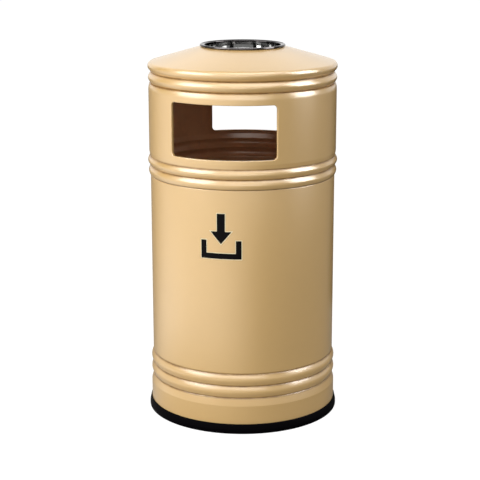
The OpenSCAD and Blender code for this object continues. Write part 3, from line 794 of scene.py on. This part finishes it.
class LITTERBIN_OT_hood_wall(Builder):
    """Hood wall: skirt, two middle ribs, the section with its two lipped openings, and the top rib"""
    bl_idname = "litter_bin.hood_wall"
    bl_label = "Hood Wall"

    seam_turn = 90

    def make(self, context):
        s = self.sizes
        bottom, joint = HOOD_LOW.z + s.skirt + s.seat_gap, HOOD_HIGH.z
        middle, ribs_top = bottom + s.middle_rib, bottom + s.middle_rib + s.upper_rib
        section = joint - s.top_rib
        edge = section - s.groove_edge
        full = s.body_radius + s.hood_step
        groove, notch = s.body_radius + s.groove_out, full - s.notch_in
        skirt = s.body_radius - 2 * s.sheet - s.slip_gap
        low = ribs_top + s.opening_sill
        opening = OpeningGrid(s, full, low, low + s.opening_height)

        def wall_radius(z):
            return shoulder_radius(full, full - s.shoulder_in, section - s.hood_shoulder, edge, z)

        below = soften(joined(
            [[skirt, HOOD_LOW.z], [skirt, bottom]],
            rib(s.body_radius, groove, s.body_radius + s.rib_out, bottom, middle),
            rib(groove, full - s.draw_in, full + s.hood_rib_out, middle, ribs_top),
            [[full, ribs_top + s.hood_run_out], [full, opening.block_low]]), reach=0.7 * MM)
        rise = np.linspace(opening.block_high, edge, 11)
        above = soften(joined(
            np.stack([wall_radius(rise), rise], 1),
            rib(notch, notch, full + s.top_rib_out, section, joint),
            [notch - s.flange, joint]), reach=0.7 * MM)
        turns = opening.turns()
        patches = Patches()
        for path, free, met in ((below, 0, -1), (above, -1, 0)):
            inner = other_face(path, s.sheet)
            inner[met] = path[met] - [s.sheet, 0]
            patches.revolve(path, turns)
            patches.revolve(inner, turns, 1)
            patches.revolve(np.array([path[free], inner[free]]), turns, 1)
        heights = opening.row_heights[:, None]
        rows, painted = opening.rows(wall_radius)
        row_finish = (np.arange(len(rows) - 1) >= painted).astype(int)
        for side in (0, BACK_TURN):
            columns = opening.side_turns[None, :] + side
            for depth, finish in ((0, 0), (s.sheet, 1)):
                patches.add(placed(columns, wall_radius(heights) - depth, heights), finish)
            around = placed(rows[..., 0] + side, rows[..., 2], rows[..., 1])
            patches.add(around, row_finish, closed_columns=True)
        piece("hood_sheet", patches.mesh("hood_sheet"),
              self.coats("enamel_hood", (bottom, middle, ribs_top, section, joint), self.seam_turn),
              "hood", "body_paint", "hood_wall")


class LITTERBIN_OT_hood_cone(Builder):
    """Hood cone: rounded edge, slope and the curl round the hole for the bowl"""
    bl_idname = "litter_bin.hood_cone"
    bl_label = "Hood Cone"

    # Degrees below level at which the rounded edge starts
    edge_start = -50

    def make(self, context):
        s = self.sizes
        full = s.body_radius + s.hood_step
        joint, notch = CONE_LOW.z, full - s.notch_in
        lean = 90 - math.degrees(s.slope)
        edge = np.array([full + s.cone_edge_out - s.cone_edge, joint + s.cone_edge_rise])
        curl = np.array([s.bowl_radius, CONE_HIGH.z - s.curl])
        path = soften(joined(
            [[notch - s.flange, joint], [notch, joint]],
            arc(edge, s.cone_edge, self.edge_start, lean, 22), arc(curl, s.curl, lean, 180, 16),
            [curl - [s.curl, s.neck]]), reach=0.7 * MM)
        inner = other_face(path, s.sheet)
        round_piece("cone_sheet", [path, joined(path[-1:], inner[::-1], path[:1])],
                    self.coats("enamel_cone", (joint,)), "hood", "body_paint", "hood_cone")


class LITTERBIN_OT_ash_bowl(Builder):
    """Ash bowl: polished steel with a rolled rim and a step in its wall"""
    bl_idname = "litter_bin.ash_bowl"
    bl_label = "Ash Bowl"

    # Width of the flat that leads from the mouth over to the roll
    mouth_flat = 2 * MM

    def make(self, context):
        s = self.sizes
        t = s.bowl_sheet
        bottom, rim = BOWL_LOW.z, BOWL_HIGH.z - s.bowl_roll
        wall = s.bowl_radius - s.curl - s.slip_gap
        narrow = wall - s.bowl_step_width
        step = BOWL_HIGH.z - s.bowl_step - t
        outer = soften(joined(
            [0, bottom], arc((narrow - s.bowl_corner, bottom + s.bowl_corner), s.bowl_corner, -90, 0, 14),
            [[narrow, step], [wall, step], [wall, rim]]), reach=1.5 * MM)
        inner = other_face(outer, t)
        inner[-1] = [wall - t, rim]
        roll = arc((s.bowl_radius, rim), s.bowl_roll, 150, -180, 24)
        mouth = soften(joined(inner[-2:], [[wall - t, rim + t], [wall + self.mouth_flat, rim + t]], roll[:1]),
                       reach=2.2 * MM)
        round_piece("bowl_spun", [joined(inner[:-1], mouth, roll, outer[::-1])],
                    [material("polished_steel", polished_steel, self.colours)],
                    "bowl", "polished_bowl", "ash_bowl")


class LITTERBIN_OT_liner(Builder):
    """Liner: galvanised can with a rolled rim and a pressed-in base"""
    bl_idname = "litter_bin.liner"
    bl_label = "Liner"

    def make(self, context):
        s = self.sizes
        zinc = [material("galvanised", galvanised, self.colours)]
        wall = s.liner_radius - s.liner_sheet
        roll = arc((wall + s.liner_roll, LINER_HIGH.z - s.liner_roll), s.liner_roll, 180, -120, 28)
        face = joined([wall, LINER_LOW.z], roll)
        round_piece("liner_can", [joined(face, other_face(face, -s.liner_sheet)[::-1])], zinc,
                    "liner", "galvanised", "liner_wall", closed=True)
        foot, raised = s.liner_radius - s.liner_flat, BASE_LOW.z + s.liner_rise
        under = soften(joined(
            [[0, raised], [foot - s.liner_rise, raised], [foot, BASE_LOW.z],
             [BASE_HIGH.x, BASE_LOW.z], [BASE_HIGH.x, BASE_HIGH.z]]), reach=1.6 * MM)
        round_piece("liner_bottom", [joined(under, other_face(under, s.liner_sheet)[::-1])], zinc,
                    "liner", "galvanised", "liner_base")


class LITTERBIN_OT_sign(Builder):
    """Sign: an arrow that points into a tray, of black vinyl on a pale border"""
    bl_idname = "litter_bin.sign"
    bl_label = "Sign"

    # Outlines in millimetres from the sign's middle, clockwise
    arrow = ((-8, 46), (8, 46), (8, 10), (21, 10), (0, -15), (-21, 10), (-8, 10))
    tray = ((-41, -8), (-30, -8), (-30, -34), (30, -34), (30, -8), (41, -8), (41, -45), (-41, -45))
    # Half the width that is cut into strips, the width of a strip, and a film's thickness in layers of vinyl
    half_width, strip, film_layers = 48 * MM, 3 * MM, 1.5

    def film(self, name, grow, radius, finish):
        """The sign's outlines, moved out by grow, cut along upright lines and wrapped round the wall, where
        the turn is x / radius. A Solidify modifier gives the film its thickness inwards."""
        shape = bmesh.new()
        for outline in (self.arrow, self.tray):
            path = np.array(outline, float) * MM
            edge = np.roll(path, -1, 0) - path
            normal = np.stack([-edge[:, 1], edge[:, 0]], 1) / np.linalg.norm(edge, axis=1, keepdims=True)
            before = np.roll(normal, 1, 0)
            path = path + grow * (before + normal) / (1 + (before * normal).sum(1, keepdims=True))
            path = soften(path, reach=1.2 * MM, steps=4, closed=True)
            shape.faces.new([shape.verts.new((x, 0, z)) for x, z in path])
        for x in np.arange(-self.half_width, self.half_width, self.strip):
            bmesh.ops.bisect_plane(shape, geom=shape.verts[:] + shape.edges[:] + shape.faces[:],
                                   plane_co=(x, 0, 0), plane_no=(1, 0, 0))
        bmesh.ops.triangulate(shape, faces=shape.faces)
        mesh = bpy.data.meshes.new(name)
        shape.to_mesh(mesh)
        shape.free()
        flat = np.zeros(len(mesh.vertices) * 3)
        mesh.vertices.foreach_get("co", flat)
        x, _, z = flat.reshape(-1, 3).T
        wrapped = placed(np.degrees(x / radius), radius, z + self.sizes.sign_height)
        mesh.vertices.foreach_set("co", wrapped.ravel())
        # The outlines run clockwise from in front, so their faces are turned round to look out
        mesh.flip_normals()
        mesh.update()
        made = piece(name, mesh, [finish], "body", "body_paint")
        solid = made.modifiers.new("thickness", "SOLIDIFY")
        solid.thickness, solid.offset = self.sizes.sign_layer * self.film_layers, -1

    def make(self, context):
        s = self.sizes
        self.film("sign_border", s.sign_border, s.body_radius + s.sign_layer,
                  material("vinyl_pale", vinyl, self.colours.border))
        self.film("sign_shapes", 0, s.body_radius + 2 * s.sign_layer,
                  material("vinyl_black", vinyl, self.colours.vinyl))


class LITTERBIN_OT_small_parts(Builder):
    """Small parts: finishes of the strips, floor pan, screws, rivets, buffers, ears, rim wire and bail"""
    bl_idname = "litter_bin.small_parts"
    bl_label = "Small Parts"

    def make(self, context):
        c = self.colours
        finishes = {
            material("shaded_inner_coat", shaded_inner_coat, c): ("body_seam", "hood_seam", "floor_pan"),
            material("galvanised", galvanised, c): ("ear_left", "ear_right", "liner_rim_wire"),
            material("zinc_plate", plated, c.plated, 90.0): (
                "floor_screws", "top_rivets", "ear_rivets", "bail_washers"),
            material("drawn_wire", plated, c.wire, 160.0): ("bail",),
            material("rubber", rubber, c): ("liner_buffers",)}
        for finish, nodes in finishes.items():
            for node in nodes:
                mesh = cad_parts[node].data
                mesh.materials.clear()
                mesh.materials.append(finish)


class LITTERBIN_OT_stage(Builder):
    """Stage: pale floor, soft lamps, dark cards at the sides, white surroundings and the camera"""
    bl_idname = "litter_bin.stage"
    bl_label = "Stage"

    aim = (0, 0, 0.42)
    floor_radius = 14.0
    # How white the camera sees the floor, and the painted glow of a lit table that the floor gives only to
    # reflections in the enamel: its brightness, its brightest turn and how fast it falls off beside that
    floor_white, table_level, table_turn, table_fall = 0.9, 2.3, 55, 1.6
    # Lamps that light the bin: turn, distance and height, and size across and up
    lamps = {"key": (-56, 2.1, 1.45, (1.6, 1.8)), "top": (70, 0.9, 2.4, (2.2, 2.2))}
    # Lamps seen only in reflections: turn, distance and height, size across and up, and brightness
    shines = {
        "shine_left": (-62, 1.45, 1.3, (1.1, 1.2), 7.0), "shine_front": (-6, 1.4, 0.9, (1.8, 0.5), 4.5),
        "shine_right": (78, 1.45, 1.2, (0.8, 1.2), 15.0), "shine_over": (10, 0.8, 1.9, (1.6, 1.5), 4.0),
        "shine_back": (180, 1.6, 2.05, (2.6, 1.2), 0.35)}
    # Dark cards seen only in reflections: turn, distance, width, height and lower edge
    cards = {
        "card_edge_right": (155, 0.8, 0.8, 0.62, 0.01), "card_edge_left": (-166, 0.8, 0.35, 0.62, 0.01),
        "card_low_0": (-112, 1.8, 0.8, 1.0, 0.75), "card_low_1": (-22, 1.8, 0.8, 1.0, 0.75),
        "card_low_2": (14, 1.8, 0.7, 1.0, 0.75), "card_low_3": (48, 1.8, 0.8, 1.0, 0.75),
        "card_low_4": (100, 1.8, 1.0, 1.0, 0.75)}

    def sight(self, turn, distance, height):
        """A place at a turn from the camera's direction and a distance from the bin's axis."""
        a = math.radians(turn) + self.stage.azimuth
        return distance * math.sin(a), -distance * math.cos(a), height

    def light(self, name, power, size, place, shine_only=False):
        """A rectangular lamp at a place, turned to the bin's middle, which may show only in reflections."""
        data = bpy.data.lights.new(name, "AREA")
        data.shape, data.energy = "RECTANGLE", power
        data.size, data.size_y = size
        made = linked(name, data)
        way = Vector(self.aim) - Vector(place)
        made.visible_diffuse = not shine_only
        made.visible_camera = False
        made.matrix_world = Matrix.Translation(place) @ way.to_track_quat("-Z", "Y").to_matrix().to_4x4()

    def card(self, name, turn, distance, width, height, low, flat=False):
        """A dark card, upright or lying flat, that shows only in reflections."""
        a = math.radians(turn) + self.stage.azimuth
        side = np.array([math.cos(a), math.sin(a), 0]) * width / 2
        up = np.array([-math.sin(a), math.cos(a), 0] if flat else [0, 0, 1.0]) * height
        first = np.array(self.sight(turn, distance, low)) - (up / 2 if flat else 0)
        corners = np.array([first - side, first + side, first + side + up, first - side + up])
        mesh = bpy.data.meshes.new(name)
        mesh.from_pydata(corners.tolist(), [], [(0, 1, 2, 3)])
        made = linked(name, mesh)
        mesh.materials.append(material("dark_card", matt_black))
        made.visible_camera = made.visible_diffuse = made.visible_shadow = made.visible_transmission = False

    def pale_floor(self, tree):
        """Finish of the floor, which looks white but for the bin's shadow.

        What the enamel mirrors of it is a painted glow of a lit table, which the floor gives off only to
        reflections: brightest at the left, dim at the right and behind."""
        ray = tree.node("LightPath").outputs
        place = tree.node("TexCoord").outputs["Object"]
        turned = tree.turn_about_axis(place, math.radians(self.table_turn) - self.stage.azimuth)
        toward = tree.axes(tree.vector("NORMALIZE", turned).outputs[0])[1]
        reach = tree.vector("LENGTH", place).outputs["Value"]
        lit = tree.math("MULTIPLY", tree.math("POWER", tree.ramp(toward, 0.0, -1.0), self.table_fall),
                        tree.ramp(reach, 0.2, 1.0, 0.15, 1.0))
        # Painted reflection: the floor glows only for reflection rays
        mirrored = tree.math("MULTIPLY", ray["Is Glossy Ray"], tree.math("MULTIPLY", lit, self.table_level))
        seen = tree.math("ADD", tree.math("MULTIPLY", ray["Is Camera Ray"], self.floor_white), mirrored)
        return {"Base Color": tree.mix(ray["Is Diffuse Ray"], (0.22, 0.22, 0.22, 1), (0.4, 0.4, 0.4, 1)),
                "Roughness": 0.9, "Specular IOR Level": 0.0, "Emission Color": (1, 1, 1, 1),
                "Emission Strength": seen}

    def floor(self):
        """A round floor."""
        mesh = bpy.data.meshes.new("floor")
        rim = placed(round_turns(), self.floor_radius, 0.0)
        mesh.from_pydata(rim.tolist(), [], [tuple(range(len(rim)))])
        made = linked("floor", mesh)
        mesh.materials.append(material("pale_floor", self.pale_floor))

    def surroundings(self, context):
        """White to the camera and in reflections, and soft ambient light on dull faces."""
        world = bpy.data.worlds.new("surroundings")
        world.use_nodes = True
        tree = Tree(world.node_tree)
        ray = tree.node("LightPath").outputs
        seen = tree.math("MAXIMUM", ray["Is Camera Ray"],
                         tree.math("MAXIMUM", ray["Is Glossy Ray"], ray["Is Transmission Ray"]))
        strength = tree.node("MapRange", {"Value": seen, "To Min": self.stage.ambient, "To Max": 1.0})
        tree.put(world.node_tree.nodes["Background"],
                 {"Color": (1, 1, 1, 1), "Strength": strength.outputs[0]})
        context.scene.world = world

    def camera(self, context):
        """The photograph's camera: to the right of the front, above the bin and looking down at it."""
        g = self.stage
        data = bpy.data.cameras.new("camera")
        data.sensor_width, data.lens = 36, g.lens
        data.shift_x = g.shift_x
        made = linked("camera", data)
        x, y, _ = self.sight(0, g.distance, g.height)
        made.location = (x + math.cos(g.azimuth) * g.sideways, y + math.sin(g.azimuth) * g.sideways, g.height)
        made.rotation_euler = (math.pi / 2 - g.pitch, 0, g.azimuth)
        context.scene.camera = made

    def make(self, context):
        self.stage = context.scene.bin_stage
        self.camera(context)
        self.floor()
        self.surroundings(context)
        powers = {"key": self.stage.key_power, "top": self.stage.top_power}
        for name, (turn, distance, height, size) in self.lamps.items():
            self.light(name, powers[name], size, self.sight(turn, distance, height))
        for name, (turn, distance, height, size, level) in self.shines.items():
            power = level * math.pi * size[0] * size[1]
            self.light(name, power, size, self.sight(turn, distance, height), shine_only=True)
        for name, place in self.cards.items():
            self.card(name, *place)
        self.card("card_over", 0, 0, 0.32, 0.32, 1.12, flat=True)
        context.scene.view_settings.view_transform = "Standard"


class LITTERBIN_PT_pieces(bpy.types.Panel):
    """Lists the pieces in the order in which they are built"""
    bl_label = "Litter Bin"
    bl_idname = "LITTERBIN_PT_pieces"
    bl_space_type = "VIEW_3D"
    bl_region_type = "UI"
    bl_category = "Litter Bin"

    def draw(self, context):
        for operator in OPERATORS:
            self.layout.operator(operator.bl_idname)


OPERATORS = (LITTERBIN_OT_body, LITTERBIN_OT_base_ring, LITTERBIN_OT_hood_wall, LITTERBIN_OT_hood_cone,
             LITTERBIN_OT_ash_bowl, LITTERBIN_OT_liner, LITTERBIN_OT_sign, LITTERBIN_OT_small_parts,
             LITTERBIN_OT_stage)
SETTINGS = {"bin_sizes": BinSizes, "bin_colours": BinColours, "bin_stage": BinStage}
CLASSES = (*SETTINGS.values(), *OPERATORS, LITTERBIN_PT_pieces)


def register():
    for made in CLASSES:
        bpy.utils.register_class(made)
    for name, kind in SETTINGS.items():
        setattr(bpy.types.Scene, name, PointerProperty(type=kind))


def unregister():
    for name in SETTINGS:
        delattr(bpy.types.Scene, name)
    for made in reversed(CLASSES):
        bpy.utils.unregister_class(made)


def main():
    register()
    for operator in OPERATORS:
        family, name = operator.bl_idname.split(".")
        getattr(getattr(bpy.ops, family), name)()


if __name__ == "__main__":
    main()
